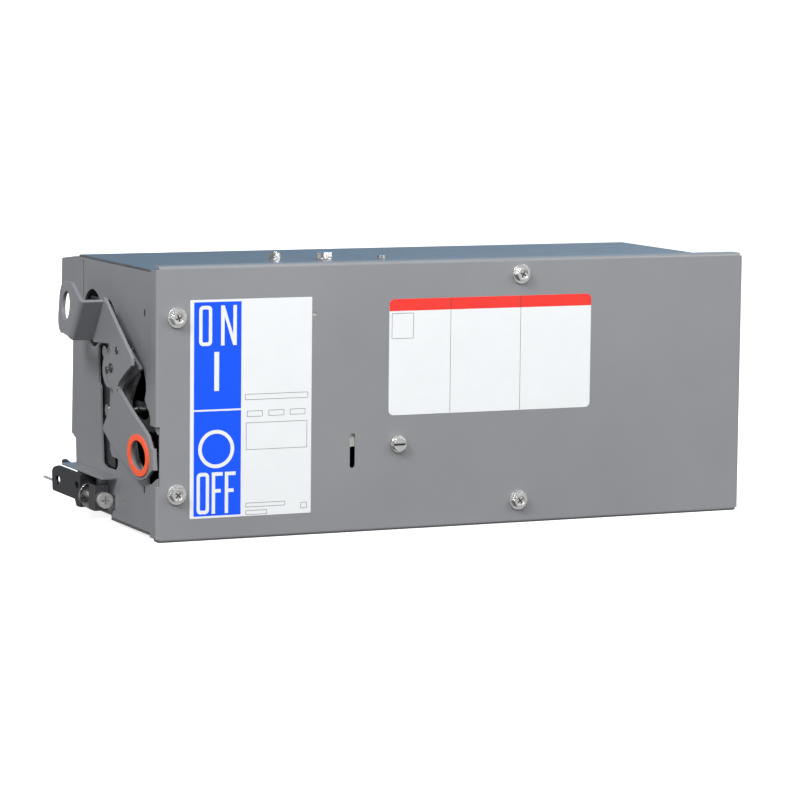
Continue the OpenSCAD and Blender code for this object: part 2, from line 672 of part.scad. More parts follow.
module jaw_base() color([0.24, 0.1, 0.08]) place() difference() {
  union() {
    translate([jaw_x[0] - 22, jaw_root, -jaw_h / 2 - 12])
      cube([2 * jaw_pitch + 44, back_in - jaw_root, jaw_h + 24]);
    translate([jaw_x[0] - 16, back_in - 1, -jaw_h / 2 - 7]) cube([2 * jaw_pitch + 32, 9, jaw_h + 14]);
    // barriers between the phases
    for (x = [-1.5, -0.5, 0.5, 1.5]) translate([breaker_x + x * (jaw_pitch - 3) - 1.5, back_in, -jaw_h / 2 - 7])
      cube([3, jaw_reach - 8, jaw_h + 14]);
  }
  for (x = jaw_x) translate([x - stab_t / 2 - finger_t - fit_gap, jaw_root - 1, -jaw_h / 2 - fit_gap])
    cube([stab_t + 2 * (finger_t + fit_gap), box_d, jaw_h + 2 * fit_gap]);
}

// Two copper fingers joined at the root
module bus_jaw(x, root, reach) {
  wide = stab_t + 2 * finger_t;
  len = box_d + reach - root;
  difference() {
    translate([x - wide / 2, root, -jaw_h / 2]) cube([wide, len, jaw_h]);
    translate([x - stab_t / 2, root + finger_t, -jaw_h]) cube([stab_t, len, 2 * jaw_h]);
  }
}

module phase_jaw_a() color(copper) place() bus_jaw(jaw_x[0], jaw_root - finger_t, jaw_reach);
module phase_jaw_b() color(copper) place() bus_jaw(jaw_x[1], jaw_root - finger_t, jaw_reach);
module phase_jaw_c() color(copper) place() bus_jaw(jaw_x[2], jaw_root - finger_t, jaw_reach);

// Steel clips that press the fingers onto the stab
module jaw_springs() color(zinc) place() for (x = jaw_x) {
  out = stab_t / 2 + finger_t;
  y = box_d + jaw_reach - 22;
  for (s = [-1, 1]) translate([x + s * (out + 0.5) - 0.5, y, -jaw_h / 2 + 2]) cube([1, 14, jaw_h]);
  translate([x - out - 1, y, jaw_h / 2 + 1]) cube([2 * out + 2, 14, 1]);
}

// Copper strap from a line lug, over the breaker and down to its jaw
module line_strap(pole, jaw) {
  t = 2;
  w = 12;
  up = breaker_h / 2 + 7;
  deep = jaw_root - finger_t - t;
  lug_y = split_y + 18;
  x = pole;
  translate([x - w / 2, lug_y, breaker_h / 2 - 18]) cube([w, t, up - breaker_h / 2 + 18]);
  translate([x - w / 2, lug_y, up - t]) cube([w, deep - lug_y + t, t]);
  translate([x - w / 2, deep, breaker_h / 2 - 4]) cube([w, t, up - breaker_h / 2 + 4]);
  // cross run at the back to the jaw's own place
  translate([min(x, jaw) - w / 2, deep, breaker_h / 2 - 14]) cube([abs(x - jaw) + w, t, 12]);
  translate([jaw - w / 2, deep, -jaw_h / 2]) cube([w, t, breaker_h / 2 + jaw_h / 2 - 4]);
}

module line_strap_a() color(copper) place() line_strap(pole_x[0], jaw_x[0]);
module line_strap_b() color(copper) place() line_strap(pole_x[1], jaw_x[1]);
module line_strap_c() color(copper) place() line_strap(pole_x[2], jaw_x[2]);

module ground_jaw() color(zinc) place() {
  bus_jaw(ground_x, back_in - finger_t, ground_reach);
  front_plate(back_in - finger_t, finger_t) difference() {
    translate([ground_x - 14, -jaw_h / 2 - 8]) square([28, jaw_h + 16]);
    translate([ground_x - stab_t / 2 - finger_t, -jaw_h / 2]) square([stab_t + 2 * finger_t, jaw_h]);
  }
}

ground_bar_x = box_w - 90;
ground_screw_z = [-30, 30];

module ground_bar() color([0.75, 0.75, 0.76]) place() difference() {
  translate([ground_bar_x - 6, back_in - 12, -38]) cube([12, 12, 76]);
  for (z = [-20:10:20]) {
    rod_x(ground_bar_x - 7, back_in - 6, z, 2.6, 14);
    rod_y(ground_bar_x, back_in - 13, z, 1.8, 6);
  }
  for (z = ground_screw_z) rod_y(ground_bar_x, back_in - 13, z, 2.2 + run_gap, 14);
}

module ground_bar_screws() color(zinc) place() {
  for (z = ground_screw_z) {
    rod_y(ground_bar_x, back_in - 15, z, 4, 3);
    rod_y(ground_bar_x, back_in - 12, z, 2.2, 12 + sheet + 2);
  }
  for (z = [-20:10:20]) rod_y(ground_bar_x, back_in - 13.5, z, 1.75, 6);
}

// ---------- cover interlock ----------

// Slotted stud that frees the interlock
module defeat_stud() color(zinc) place() difference() {
  union() {
    rod_y(stud_at[0], -4.5, stud_at[1], 5.2, 3);
    rod_y(stud_at[0], -1.5, stud_at[1], 6.4, 1.4);
    rod_y(stud_at[0], -0.2, stud_at[1], stud_r, sheet + 7);
  }
  translate([stud_at[0] - 6, -5, stud_at[1] - 0.7]) cube([12, 2, 1.4]);
}

module defeat_lever() color(zinc) place() front_plate(sheet + 3, 2) difference() {
  obround(stud_at, stud_at + [-24, 0], 5.5);
  translate(stud_at) circle(stud_r + run_gap);
}

// ---------- busway clamp ----------

// Shelf bent out over the clamp, and the plate behind it
module clamp_shelf() color(grey) place() {
  out = clamp_x - 5.5;
  translate([out, clamp_y - 11, shelf_z - sheet]) cube([wall_x - out, 13, sheet]);
  translate([out, clamp_y + 1.2, shelf_z - sheet]) cube([room_x - fit_gap - out, box_d + 5 - clamp_y, sheet]);
  translate([out, clamp_y + 1.2, shelf_z - sheet]) cube([room_x + sheet - out, back_in - clamp_y - 2, sheet]);
  translate([room_x, clamp_y + 1.2, -box_top + sheet + 0.2])
    cube([sheet, back_in - clamp_y - 2, shelf_z + box_top - 2 * sheet - 0.1]);
}

// Threaded block under the shelf, hung from it by a neck
module clamp_block() color(zinc) place() difference() {
  union() {
    translate([clamp_x - 7.5, clamp_y, block_low]) cube([11, 13, block_high - block_low]);
    translate([clamp_x - 2, clamp_y + 3, block_high - 0.1]) cube([5, 8, shelf_z - sheet - block_high + 0.1]);
  }
  rod_y(clamp_x, clamp_y - 1, clamp_z, clamp_r + run_gap, 16);
}

block_low = 10.9 - half_h;
block_high = 30.8 - half_h;
tip_r = 1;
tip_end = 64;

module clamp_screw() color(zinc) place() difference() {
  union() {
    rod_y(clamp_x, clamp_y - 4.6, clamp_z, 6, 4.5);
    rod_y(clamp_x, clamp_y - 0.2, clamp_z, clamp_r, clamp_front + 16);
    rod_y(clamp_x, box_d, clamp_z, tip_r, tip_end);
  }
  for (a = [0, 90]) translate([clamp_x, clamp_y - 4.7, clamp_z]) rotate([0, a, 0])
    translate([-3, 0, -0.6]) cube([6, 2, 1.2]);
}

washer_y = clamp_y + 27;

module clamp_washer() color(zinc) place() difference() {
  rod_y(clamp_x, washer_y, clamp_z, 10.2, jaw_seat);
  rod_y(clamp_x, washer_y - 1, clamp_z, clamp_r + run_gap, 4);
}

jaw_seat = 1.5;
plate_low = 14.8 - half_h;
foot_low = 10 - half_h;

// Black channel jaw: outer plate, end plate on the screw, inner plate with its finger
module clamp_jaw() color(black) place() {
  t = 2.3;
  y0 = washer_y + jaw_seat;
  top = shelf_z - sheet - fit_gap;
  outer_x = clamp_x - 9;
  inner_x = clamp_x + clamp_r + 0.6;
  raised = box_d + 6 + clamp_travel;
  difference() {
    union() {
      side_plate(outer_x, t) difference() {
        offset(r = 2) offset(delta = -2) polygon([[y0, top], [box_d + 6, top], [box_d + 15, top - 2.2],
          [box_d + 19.5, top - 5.4], [box_d + 18, plate_low], [box_d - 34, plate_low], [y0 + 8, foot_low],
          [y0, foot_low]]);
        obround([box_d + 3, plate_low + 9.4], [box_d + 7, plate_low + 9.4], 3.2);
        obround([box_d - 40.5, plate_low + 11.2], [box_d - 37.5, plate_low + 11.2], 2.6);
      }
      translate([outer_x + 0.1, y0, foot_low]) cube([inner_x + 1 - outer_x, t, top - foot_low - 1]);
      side_plate(inner_x, t) {
        translate([y0, plate_low]) square([box_d - y0 - 6, top - plate_low]);
        polygon([[box_d - 10, top - 1.6], [box_d - 10, top], [raised, top], [box_d + 26, top + 2],
          [box_d + 31, top + 0.4], [box_d + 31, top - 2], [box_d + 26, top - 3.2]]);
      }
    }
    rod_y(clamp_x, y0 - 1, clamp_z, clamp_r + run_gap, t + 2);
  }
}

// ---------- fasteners on the top ----------

module top_bolt() color(zinc) place() {
  hex_z(top_at[1][0], top_at[1][1], box_top + 1.1, 11.1, 4.4);
  rod_z(top_at[1][0], top_at[1][1], box_top - 9, top_at[1][2], 11);
}

module top_washer() color(zinc) place() difference() {
  rod_z(top_at[1][0], top_at[1][1], box_top, 6.7, 1.1);
  rod_z(top_at[1][0], top_at[1][1], box_top - 1, top_at[1][2] + run_gap, 4);
}

module top_stud() color(zinc) place() {
  rod_z(top_at[0][0], top_at[0][1], box_top - sheet - 1.5, 5, 1.5);
  rod_z(top_at[0][0], top_at[0][1], box_top - sheet, top_at[0][2], sheet + 6.4);
}

module top_nut() color(zinc) place() difference() {
  union() {
    rod_z(top_at[0][0], top_at[0][1], box_top, 4.9, 0.9);
    hex_z(top_at[0][0], top_at[0][1], box_top + 0.9, 7.9, 4.4);
  }
  // castle slots
  for (a = [0:60:120]) translate([top_at[0][0], top_at[0][1], box_top + 3.6]) rotate([0, 0, a])
    translate([-6, -0.7, 0]) cube([12, 1.4, 3]);
  rod_z(top_at[0][0], top_at[0][1], box_top - 1, top_at[0][2] + run_gap, 8);
}

module top_screw() color(zinc) place() {
  rod_z(top_at[2][0], top_at[2][1], box_top, 3.3, 2.2);
  rod_z(top_at[2][0], top_at[2][1], box_top - 7, top_at[2][2], 7.2);
}

housing_shell();
mechanism_wall();
end_wall();
cover();
cover_screws();
clip_nuts();
handle();
ring_bush();
drive_plate();
hub_sleeve();
handle_rivets();
drive_pin();
pivot_bolt();
pivot_nut();
pivot_bush();
drive_slide();
guide_screws();
guide_bracket();
yoke_bar();
toggle_fork();
interlock_flag();
breaker_base();
breaker_front();
breaker_toggle();
trip_button();
line_lugs();
load_lugs();
mounting_plate();
mounting_screws();
plate_spacers();
jaw_base();
phase_jaw_a();
phase_jaw_b();
phase_jaw_c();
jaw_springs();
line_strap_a();
line_strap_b();
line_strap_c();
ground_jaw();
ground_bar();
ground_bar_screws();
defeat_stud();
defeat_lever();
clamp_shelf();
clamp_block();
clamp_screw();
clamp_washer();
clamp_jaw();
top_bolt();
top_washer();
top_stud();
top_nut();
top_screw();
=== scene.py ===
import json
import math

import bmesh
import bpy
from mathutils import Matrix, Vector


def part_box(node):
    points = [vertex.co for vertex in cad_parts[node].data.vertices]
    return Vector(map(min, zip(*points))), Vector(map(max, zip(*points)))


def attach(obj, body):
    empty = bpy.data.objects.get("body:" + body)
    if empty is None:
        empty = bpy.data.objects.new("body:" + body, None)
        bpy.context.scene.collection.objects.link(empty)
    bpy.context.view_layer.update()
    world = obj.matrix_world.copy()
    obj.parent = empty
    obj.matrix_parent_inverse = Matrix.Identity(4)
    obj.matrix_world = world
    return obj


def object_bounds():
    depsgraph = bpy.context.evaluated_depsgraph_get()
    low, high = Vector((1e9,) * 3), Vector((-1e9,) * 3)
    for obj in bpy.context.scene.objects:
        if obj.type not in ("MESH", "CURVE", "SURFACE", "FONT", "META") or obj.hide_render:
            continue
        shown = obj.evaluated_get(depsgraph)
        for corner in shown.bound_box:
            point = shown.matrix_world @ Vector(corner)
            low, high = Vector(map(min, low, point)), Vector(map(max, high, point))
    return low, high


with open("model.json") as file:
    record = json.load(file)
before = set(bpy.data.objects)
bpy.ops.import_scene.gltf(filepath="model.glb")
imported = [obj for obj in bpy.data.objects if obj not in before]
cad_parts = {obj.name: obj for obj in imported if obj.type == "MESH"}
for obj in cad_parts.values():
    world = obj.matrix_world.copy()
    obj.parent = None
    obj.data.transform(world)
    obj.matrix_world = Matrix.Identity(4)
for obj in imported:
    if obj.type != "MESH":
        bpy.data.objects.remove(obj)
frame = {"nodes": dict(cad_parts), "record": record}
cad_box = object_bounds()
nodes = frame["nodes"]
MM = 0.001
PHOTO_WIDTH = 800
FOCAL_PX = 3568
SENSOR_MM = 36

# Places on the cover are measured from its lower left corner, in millimetres,
# with y = 0 on the cover's face and y growing towards the back.
low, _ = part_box("cover")


def at(x, y, z):
    return Vector((low.x + x * MM, low.y + y * MM, low.z + z * MM))


# ---------------------------------------------------------------- camera
def make_camera():
    """The photograph's viewpoint, with its slight roll."""
    eye = at(-906.9, -2421.0, 406.6)
    aim = at(222.7, 61.0, 90.6)
    ahead = (aim - eye).normalized()
    side = ahead.cross(Vector((0, 0, 1))).normalized()
    up = side.cross(ahead)
    roll = math.radians(0.6)
    x_axis = math.cos(roll) * side + math.sin(roll) * up
    y_axis = -math.sin(roll) * side + math.cos(roll) * up
    data = bpy.data.cameras.new("camera")
    data.sensor_width = SENSOR_MM
    data.lens = FOCAL_PX * SENSOR_MM / PHOTO_WIDTH
    data.clip_end = 3000
    cam = bpy.data.objects.new("camera", data)
    cam.matrix_world = Matrix((x_axis, y_axis, -ahead)).transposed().to_4x4()
    cam.matrix_world.translation = eye
    bpy.context.collection.objects.link(cam)
    bpy.context.scene.camera = cam


make_camera()


# ---------------------------------------------------------------- materials
class Tree:
    """A material's nodes, with short ways to add and join them."""

    def __init__(self, name):
        self.mat = bpy.data.materials.new(name)
        self.mat.use_nodes = True
        self.t = self.mat.node_tree
        self.shader = self.t.nodes["Principled BSDF"]
        self.coord = self.t.nodes.new("ShaderNodeTexCoord").outputs["Object"]

    def node(self, kind, **inputs):
        n = self.t.nodes.new(kind)
        for k, v in inputs.items():
            self.put(n.inputs[k.replace("_", " ")], v)
        return n

    def put(self, socket, value):
        if isinstance(value, bpy.types.NodeSocket):
            self.t.links.new(value, socket)
        else:
            socket.default_value = value

    def stretch(self, scale):
        return self.node("ShaderNodeMapping", Vector=self.coord, Scale=scale).outputs["Vector"]

    def noise(self, scale, detail, rough, vector=None):
        n = self.node("ShaderNodeTexNoise", Vector=vector or self.coord, Scale=scale,
                      Detail=detail, Roughness=rough)
        return n.outputs["Fac"]

    def ramp(self, value, *stops):
        r = self.t.nodes.new("ShaderNodeValToRGB")
        self.put(r.inputs["Fac"], value)
        e = r.color_ramp.elements
        while len(e) < len(stops):
            e.new(0.5)
        for one, (pos, col) in zip(e, stops):
            one.position = pos
            one.color = col
        return r.outputs["Color"]

    def span(self, value, a, b, lo, hi):
        """The value's stretch from a to b, mapped to lo to hi."""
        n = self.node("ShaderNodeMapRange")
        for k, v in zip(("Value", "From Min", "From Max", "To Min", "To Max"), (value, a, b, lo, hi)):
            self.put(n.inputs[k], v)
        return n.outputs["Result"]

    def mix(self, fac, a, b):
        n = self.t.nodes.new("ShaderNodeMix")
        n.data_type = "RGBA"
        for k, v in ((0, fac), (6, a), (7, b)):
            self.put(n.inputs[k], v)
        return n.outputs[2]

    def math(self, op, a, b):
        n = self.t.nodes.new("ShaderNodeMath")
        n.operation = op
        self.put(n.inputs[0], a)
        self.put(n.inputs[1], b)
        return n.outputs[0]

    def edges(self, radius):
        """Softened normal, and how strongly the surface turns there."""
        b = self.node("ShaderNodeBevel", Radius=radius)
        b.samples = 6
        g = self.t.nodes.new("ShaderNodeNewGeometry")
        d = self.t.nodes.new("ShaderNodeVectorMath")
        d.operation = "DOT_PRODUCT"
        self.put(d.inputs[0], b.outputs["Normal"])
        self.put(d.inputs[1], g.outputs["Normal"])
        return b.outputs["Normal"], self.math("SUBTRACT", 1.0, d.outputs["Value"])

    def bump(self, height, dist, normal=None, strength=1.0):
        b = self.node("ShaderNodeBump", Height=height, Distance=dist, Strength=strength)
        if normal:
            self.put(b.inputs["Normal"], normal)
        return b.outputs["Normal"]

    def finish(self, color, rough, normal, **sockets):
        """Join the main inputs, and set the named ones to a constant."""
        self.put(self.shader.inputs["Base Color"], color)
        self.put(self.shader.inputs["Roughness"], rough)
        self.put(self.shader.inputs["Normal"], normal)
        for k, v in sockets.items():
            self.shader.inputs[k.replace("_", " ")].default_value = v
        return self.mat


def srgb(*c):
    """A linear colour from its 0 to 255 values on screen."""
    return tuple(((v / 255 + 0.055) / 1.055) ** 2.4 if v > 10 else v / 3295 for v in c) + (1.0,)


def scaled(c, k):
    """A colour made brighter or darker, no channel past 1."""
    return tuple(min(1.0, v * k) for v in c[:3]) + (1.0,)


def enamel(name, c, gloss=0.36, peel=1.0, rub_and_highlight=0.5):
    """Baked enamel on sheet steel: orange peel, faint clouding, edges lightened as rubbed paint and as
    a painted highlight, a little dust.
    """
    t = Tree(name)
    soft, turn = t.edges(0.0007)
    clouds = t.noise(9, 4, 0.6)
    specks = t.noise(420, 2, 0.6)
    rubs = t.noise(60, 5, 0.7, t.stretch((1, 1, 0.12)))
    color = t.ramp(clouds, (0.3, scaled(c, 0.95)), (0.7, scaled(c, 1.04)))
    color = t.mix(t.span(specks, 0.66, 0.76, 0, 0.16), color, scaled(c, 0.72))
    # Edges lightened where the surface turns: partly rubbed paint, partly a painted highlight on the
    # bends.
    edge = t.span(turn, 0.02, 0.2, 0, rub_and_highlight)
    color = t.mix(t.math("MULTIPLY", edge, t.span(rubs, 0.35, 0.6, 0.3, 1)), color, scaled(c, 1.5))
    rough = t.math("ADD", t.span(rubs, 0.3, 0.7, gloss - 0.05, gloss + 0.07),
                   t.span(clouds, 0.3, 0.7, -0.02, 0.03))
    fine = t.noise(1500, 2, 0.5)
    wide = t.noise(110, 2, 0.5)
    normal = t.bump(fine, 0.000012 * peel, soft)
    normal = t.bump(wide, 0.00006 * peel, normal, 0.6)
    return t.finish(color, rough, normal)


def bright(name, c, gloss=0.26, grain=(1, 1, 1), pit=1.0, metal=1.0):
    """Plated or bare metal: fine grain, blotchy sheen, darker pits, and a painted highlight along the
    edges.
    """
    t = Tree(name)
    soft, turn = t.edges(0.0004)
    blot = t.noise(300, 4, 0.65)
    lines = t.noise(2600, 3, 0.6, t.stretch(grain))
    color = t.ramp(blot, (0.3, scaled(c, 0.78)), (0.65, c))
    # Painted highlight: edges are lightened where the surface turns.
    color = t.mix(t.span(turn, 0.03, 0.25, 0, 0.5), color, scaled(c, 1.2))
    rough = t.math("ADD", t.span(blot, 0.3, 0.7, gloss - 0.06, gloss + 0.1),
                   t.span(lines, 0.35, 0.65, 0, 0.08))
    normal = t.bump(lines, 0.000008 * pit, soft)
    normal = t.bump(blot, 0.00003 * pit, normal, 0.5)
    return t.finish(color, rough, normal, Metallic=metal)


def moulded(name, c, gloss=0.4, **more):
    """Moulded plastic: fine spark texture, slight unevenness, and a painted highlight along the edges.
    """
    t = Tree(name)
    soft, turn = t.edges(0.0006)
    grain = t.noise(2200, 2, 0.6)
    flow = t.noise(35, 3, 0.5)
    color = t.ramp(flow, (0.3, scaled(c, 0.88)), (0.7, scaled(c, 1.08)))
    # Painted highlight: edges are lightened where the surface turns.
    color = t.mix(t.span(turn, 0.03, 0.25, 0, 0.35), color, scaled(c, 1.6))
    rough = t.math("ADD", t.span(grain, 0.3, 0.7, gloss - 0.05, gloss + 0.08),
                   t.span(flow, 0.3, 0.7, -0.03, 0.03))
    normal = t.bump(grain, 0.00001, soft)
    return t.finish(color, rough, normal, **more)


def printed(name, c):
    """Ink on vinyl film: slight mottling and a soft sheen."""
    t = Tree(name)
    soft, _ = t.edges(0.0001)
    mottle = t.noise(60, 4, 0.6)
    fibre = t.noise(1800, 2, 0.5)
    color = t.ramp(mottle, (0.3, scaled(c, 0.975)), (0.7, c))
    rough = t.span(fibre, 0.3, 0.7, 0.28, 0.4)
    return t.finish(color, rough, t.bump(fibre, 0.000002, soft), Specular_IOR_Level=0.3)


# Orange plastic colour. The orange material also emits it at strength 0.18, which is painted light,
# since the part is no lamp.
GLOWING_ORANGE = (1.0, 0.12, 0.045, 1)
mats = {
    "sheet_grey": enamel("sheet_grey", srgb(141, 143, 147)),
    "bracket_black": enamel("bracket_black", srgb(46, 47, 51), 0.24, 1.2, 0.35),
    "zinc": bright("zinc", (0.8, 0.8, 0.79, 1), 0.2, pit=0.35),
    # recess: near-black plastic for the flat dark plates set in slots, which are painted shade.
    "recess": moulded("recess", (0.03, 0.03, 0.032, 1), 0.5),
    "orange": moulded("orange", GLOWING_ORANGE, 0.35, Emission_Color=GLOWING_ORANGE, Emission_Strength=0.18),
    "moulding_black": moulded("moulding_black", (0.012, 0.012, 0.014, 1), 0.22),
    "moulding_brown": moulded("moulding_brown", (0.07, 0.016, 0.012, 1), 0.4),
    "copper": bright("copper", (0.72, 0.33, 0.2, 1), 0.3, (1, 0.1, 1)),
    "tinned": bright("tinned", (0.74, 0.74, 0.75, 1), 0.34, (1, 1, 0.2)),
    "white_plastic": moulded("white_plastic", srgb(222, 221, 214), 0.4),
    "red_plastic": moulded("red_plastic", (0.5, 0.02, 0.015, 1), 0.3),
    "dark_steel": bright("dark_steel", (0.2, 0.2, 0.21, 1), 0.16),
    "dull_zinc": bright("dull_zinc", (0.62, 0.62, 0.61, 1), 0.34, metal=0.35),
}
film = {
    "white": printed("film_white", (0.86, 0.885, 0.9, 1)),
    "blue": printed("film_blue", (0.003, 0.095, 1.0, 1)),
    "red": printed("film_red", (0.9, 0.045, 0.035, 1)),
    "ink": printed("film_ink", srgb(70, 72, 82)),
}
slots = {s["node"]: s["material_slot"] for s in frame["record"]["subparts"]}
slots.update(drive_plate="sheet_grey", handle_rivets="dark_steel", pivot_bolt="dark_steel",
             clamp_block="dark_steel", clamp_screw="dull_zinc")

for name, obj in nodes.items():
    obj.data.materials.clear()
    obj.data.materials.append(mats[slots[name]])


# ---------------------------------------------------------------- pieces in mesh code
def piece(name, bm, mat, body="box"):
    """A mesh as its own piece, riding on a body and taking the given finish."""
    mesh = bpy.data.meshes.new(name)
    bmesh.ops.recalc_face_normals(bm, faces=bm.faces)
    bm.to_mesh(mesh)
    bm.free()
    mesh.materials.append(mat)
    obj = bpy.data.objects.new(name, mesh)
    bpy.context.collection.objects.link(obj)
    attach(obj, body)
    return obj


def on_wall(y, x, z):
    """A place on the left wall, for outlines of (y, z) points."""
    return at(x, y, z)


def prism(bm, outline, y0, y1, place=at):
    """A flat plate from an outline of (x, z) points on the cover, between depths y0 and y1."""
    front = [bm.verts.new(place(x, y0, z)) for x, z in outline]
    back = [bm.verts.new(place(x, y1, z)) for x, z in outline]
    bm.faces.new(front)
    bm.faces.new(list(reversed(back)))
    n = len(outline)
    for i in range(n):
        j = (i + 1) % n
        bm.faces.new((front[i], back[i], back[j], front[j]))


def ring(bm, outer, inner, y0, y1):
    """A closed band between two outlines with the same number of points."""
    n = len(outer)
    v = [[bm.verts.new(at(x, y, z)) for x, z in line] for y in (y0, y1) for line in (outer, inner)]
    for i in range(n):
        j = (i + 1) % n
        bm.faces.new((v[0][i], v[0][j], v[1][j], v[1][i]))
        bm.faces.new((v[2][j], v[2][i], v[3][i], v[3][j]))
        bm.faces.new((v[0][j], v[0][i], v[2][i], v[2][j]))
        bm.faces.new((v[1][i], v[1][j], v[3][j], v[3][i]))


def rounded(x0, z0, x1, z1, r, steps=8):
    """The outline of a rectangle with round corners."""
    pts = []
    corners = (x1 - r, z1 - r), (x0 + r, z1 - r), (x0 + r, z0 + r), (x1 - r, z0 + r)
    for (cx, cz), a0 in zip(corners, (0, 90, 180, 270)):
        for k in range(steps + 1):
            a = math.radians(a0 + 90 * k / steps)
            pts.append((cx + r * math.cos(a), cz + r * math.sin(a)))
    return pts


def circle(x, z, r, n=64):
    steps = (2 * math.pi * i / n for i in range(n))
    return [(x + r * math.cos(a), z + r * math.sin(a)) for a in steps]


# ---------------------------------------------------------------- printed labels
# Depths of the film's face, the ink on it and the glyphs on the ink, in front of the cover
FILM = -0.12
INK = -0.17
GLYPH = -0.22
LINE = 0.3


def sheet(name, box, r, mat, y0, y1=0.0):
    bm = bmesh.new()
    prism(bm, rounded(*box, r), y0, y1)
    piece(name, bm, mat)


def outlines(name, boxes):
    """Empty boxes drawn in thin lines."""
    bm = bmesh.new()
    for x0, z0, x1, z1 in boxes:
        inner = rounded(x0 + LINE, z0 + LINE, x1 - LINE, z1 - LINE, 0.3, 3)
        ring(bm, rounded(x0, z0, x1, z1, 0.5, 3), inner, INK, FILM)
    piece(name, bm, film["ink"])


def block(bm, x0, z0, x1, z1, y0=GLYPH, y1=INK):
    prism(bm, [(x0, z0), (x1, z0), (x1, z1), (x0, z1)], y0, y1)


def letter_o(bm, x0, x1, z0, z1, w):
    inner = rounded(x0 + w, z0 + w, x1 - w, z1 - w, 1.2)
    ring(bm, rounded(x0, z0, x1, z1, 3.2), inner, GLYPH, INK)


def letter_n(bm, x0, x1, z0, z1, w):
    slope = 8
    prism(bm, [(x0, z0), (x0 + w, z0), (x0 + w, z1 - slope), (x1 - w, z0), (x1, z0), (x1, z1),
               (x1 - w, z1), (x1 - w, z0 + slope), (x0 + w, z1), (x0, z1)], GLYPH, INK)


def letter_f(bm, x0, x1, z0, z1, w):
    arm = x1 - 1.5
    mid = (z0 + z1) / 2 + 1.5
    prism(bm, [(x0, z0), (x0 + w, z0), (x0 + w, mid - w / 2), (arm, mid - w / 2),
               (arm, mid + w / 2), (x0 + w, mid + w / 2), (x0 + w, z1 - w), (x1, z1 - w),
               (x1, z1), (x0, z1)], GLYPH, INK)


sheet("rating_label", (26.3, 16.8, 122.7, 178.0), 0.8, film["white"], FILM)
sheet("on_panel", (29.3, 97.2, 66.5, 176.3), 0.3, film["blue"], INK, FILM)
sheet("off_panel", (29.3, 18.4, 66.5, 95.9), 0.3, film["blue"], INK, FILM)
bm = bmesh.new()
letter_o(bm, 33.2, 43.4, 144.1, 173.6, 2.6)
letter_n(bm, 50.4, 62.8, 144.1, 173.6, 2.8)
piece("on_word", bm, film["white"])
bm = bmesh.new()
block(bm, 45.2, 110.7, 49.0, 139.5)
piece("on_mark", bm, film["white"])
bm = bmesh.new()
ring(bm, circle(47, 67.8, 14.2), circle(47, 67.8, 11.4), GLYPH, INK)
piece("off_mark", bm, film["white"])
bm = bmesh.new()
letter_o(bm, 31.7, 41.5, 19.9, 50.6, 2.6)
letter_f(bm, 43.6, 52.2, 19.9, 50.6, 2.7)
letter_f(bm, 53.9, 62.4, 19.9, 50.6, 2.7)
piece("off_word", bm, film["white"])
outlines("blank_boxes", [
    (69.6, 103.2, 119.9, 107.5), (71.3, 90.6, 83.6, 95.0), (88.4, 90.8, 100.8, 95.1),
    (105.5, 91.0, 117.8, 95.2), (70.5, 66.1, 119.3, 86.3), (70.5, 23.4, 102.0, 26.6),
    (70.5, 17.7, 87.5, 21.0), (114.5, 20.6, 119.5, 25.0)])

NOTICE = (185.5, 87.0, 355.0, 174.5)
NOTICE_R = 4.0
BAND_LOW = 165.5
sheet("notice_label", NOTICE, NOTICE_R, film["white"], FILM)
bm = bmesh.new()
upper = [p for p in rounded(*NOTICE, NOTICE_R) if p[1] > BAND_LOW]
prism(bm, [(NOTICE[2], BAND_LOW)] + upper + [(NOTICE[0], BAND_LOW)], INK, FILM)
piece("notice_band", bm, film["red"])
bm = bmesh.new()
for x in (236.3, 295.0):
    block(bm, x - 0.15, 87.4, x + 0.15, BAND_LOW, INK, FILM)
    block(bm, x - 0.2, BAND_LOW, x + 0.2, 174.4)
piece("notice_rules", bm, film["ink"])
outlines("notice_box", [(187.6, 144.6, 205.6, 163.8)])


# ---------------------------------------------------------------- painted shade in slots, and a pin
def cross(bm, x, z, turn):
    """Crossed slots in a screw's head, as a closed outline round the middle."""
    reach, half = 2.5, 0.5
    pts = []
    for k in range(4):
        a = math.radians(turn - 90 * k)
        for u, v in ((half, half), (reach, half), (reach, -half)):
            pts.append((x + u * math.cos(a) - v * math.sin(a), z + u * math.sin(a) + v * math.cos(a)))
    prism(bm, pts, -4.05, -3.85)


# Dark crossed plates in the cover screws' heads: painted shade standing for the shade inside the
# crossed slots.
bm = bmesh.new()
for x, z, turn in ((16, 165.3, 20), (16, 35.3, 48), (295, 190.8, 65), (295, 17.6, 35)):
    cross(bm, x, z, turn)
piece("screw_slot_shade", bm, mats["recess"])
# Dark plate in the stud's slot: painted shade for the hollow of the slot.
bm = bmesh.new()
block(bm, 188.9, 64.6, 198.5, 65.8, -3.15, -2.95)
piece("stud_slot_shade", bm, mats["recess"], body="defeat")
# Dark plates over two small slots in the left wall: painted shade standing for the shade in these
# hollows.
bm = bmesh.new()
for z in (36.0, 167.0):
    prism(bm, rounded(28.2, z - 2.6, 31.0, z + 2.6, 1.2), 1.94, 2.14, on_wall)
piece("wall_slot_shade", bm, mats["recess"])


def dome(name, x, z, r, rise, sink):
    """A small round zinc head set into the cover."""
    bm = bmesh.new()
    rings = [(r, sink), (r, -0.25 * rise), (0.86 * r, -0.7 * rise), (0.5 * r, -0.95 * rise)]
    n = 24
    rows = [[bm.verts.new(at(u, y, v)) for u, v in circle(x, z, q, n)] for q, y in rings]
    for a, b in zip(rows, rows[1:]):
        for i in range(n):
            bm.faces.new((a[i], a[(i + 1) % n], b[(i + 1) % n], b[i]))
    bm.faces.new(rows[-1])
    bm.faces.new(list(reversed(rows[0])))
    for f in piece(name, bm, mats["zinc"]).data.polygons:
        f.use_smooth = True


dome("cover_pin", 125, 165.2, 1.55, -0.3, 1.2)


